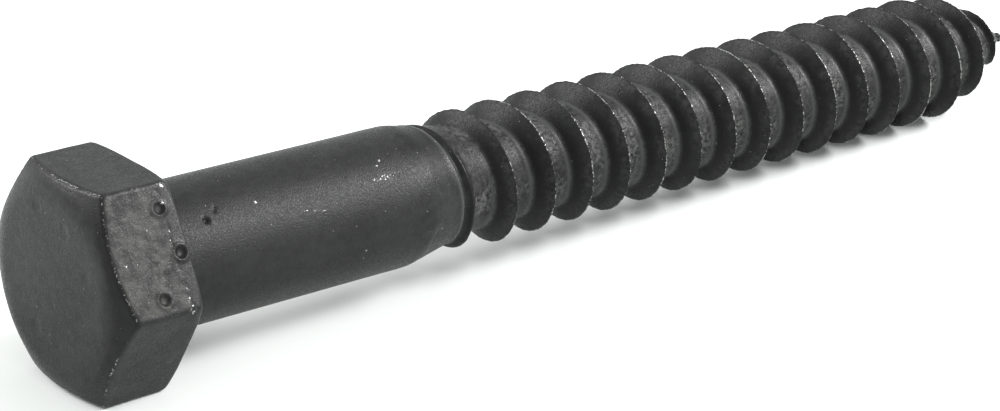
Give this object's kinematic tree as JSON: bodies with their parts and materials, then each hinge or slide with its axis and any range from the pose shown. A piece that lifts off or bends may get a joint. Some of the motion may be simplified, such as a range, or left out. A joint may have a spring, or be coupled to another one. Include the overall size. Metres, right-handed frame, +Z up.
{
  "type": "hexagon-head wood screw",
  "caption": "Black hexagon-head wood screw (coach screw) with a plain round shank, a tapered run-in, a coarse right-hand wood thread and a gimlet point.",
  "frame": {"origin": "centre of the bearing face under the head, on the screw's axis, 0.6 mm before the start of the shank's straight wall", "axes": "+X along the axis from the head to the point; +Z up, square to one flat of the head; +Y along the head's width across corners"},
  "size_m": [0.1488, 0.0274, 0.024],
  "materials": {
    "head_coating": "black coating on forged steel, matt, worn to bare metal on a few corners",
    "shank_coating": "black coating on drawn steel, satin, finely grained",
    "thread_coating": "black coating on rolled steel, satin on the taper, bare at the thread's sharp crests"
  },
  "bodies": {
    "root": {"hex_head": "head_coating", "shank": "shank_coating", "shank_taper": "thread_coating", "thread_core": "thread_coating", "wood_thread": "thread_coating", "gimlet_point": "thread_coating", "point_thread": "thread_coating"}
  },
  "joints": []
}
